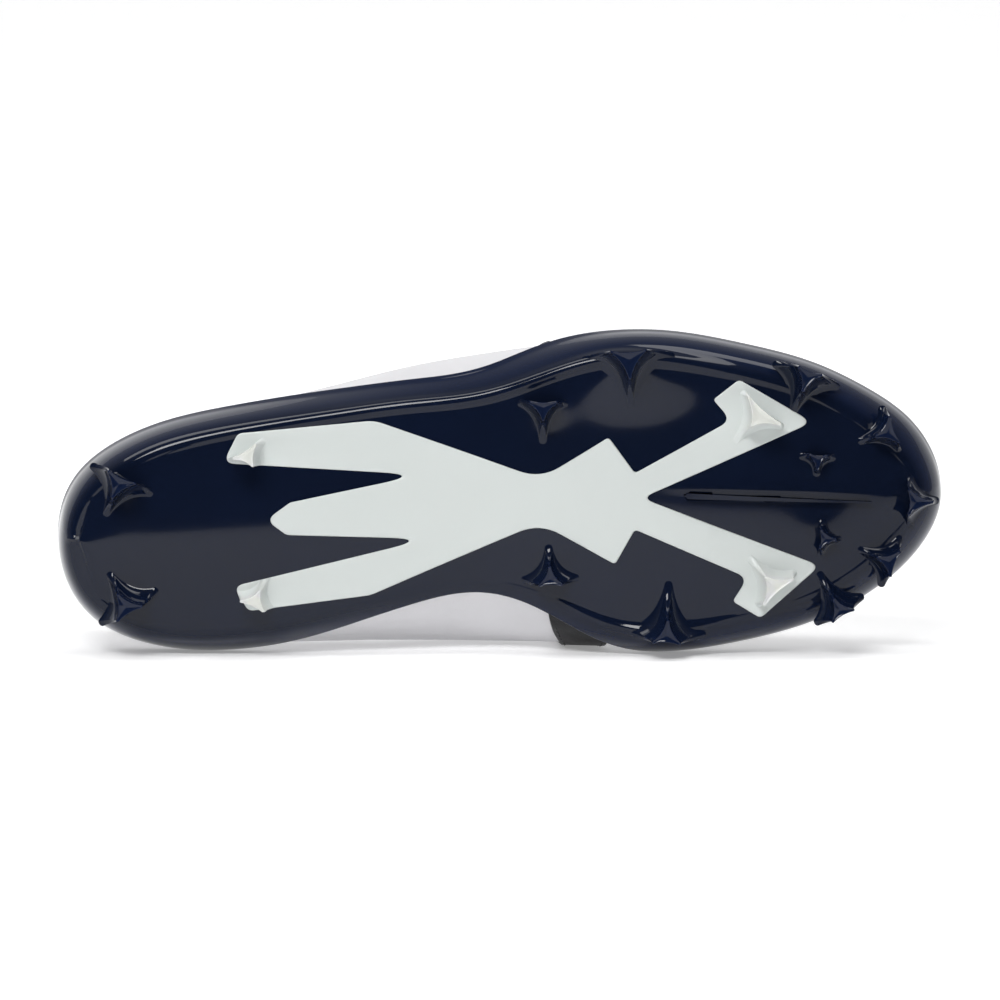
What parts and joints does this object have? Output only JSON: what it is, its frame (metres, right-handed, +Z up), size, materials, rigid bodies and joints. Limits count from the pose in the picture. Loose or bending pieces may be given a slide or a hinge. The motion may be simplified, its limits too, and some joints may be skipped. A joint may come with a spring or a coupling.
{
  "type": "american football cleat",
  "caption": "Low-cut right football cleat lying on its medial side: moulded sole with three-pointed studs, X-shaped spine plate, hollow laced upper, tongue and insole.",
  "frame": {"origin": "on the floor, under the middle of the bounding box of the shoe as it lies on its medial side", "axes": "+X from heel to toe, +Z up from the floor to the shoe's lateral side, -Y out of the sole and towards the viewer"},
  "size_m": [0.2992, 0.1172, 0.1079],
  "materials": {
    "navy_gloss_plastic": "high-gloss moulded plastic, near-black navy",
    "milky_plastic": "milky white, faintly green, smooth with a soft gloss",
    "white_synthetic": "smooth cool-white synthetic with a soft sheen",
    "black_synthetic": "smooth black synthetic",
    "white_cloth": "white woven cloth",
    "grey_sockliner": "dark grey brushed cloth over foam"
  },
  "bodies": {
    "root": {"outsole": "navy_gloss_plastic", "spine_plate": "milky_plastic", "upper": "white_synthetic", "eyestay": "white_synthetic", "band_lateral": "black_synthetic", "band_medial": "black_synthetic", "tongue": "white_cloth", "laces": "white_cloth", "insole": "grey_sockliner"}
  },
  "joints": []
}
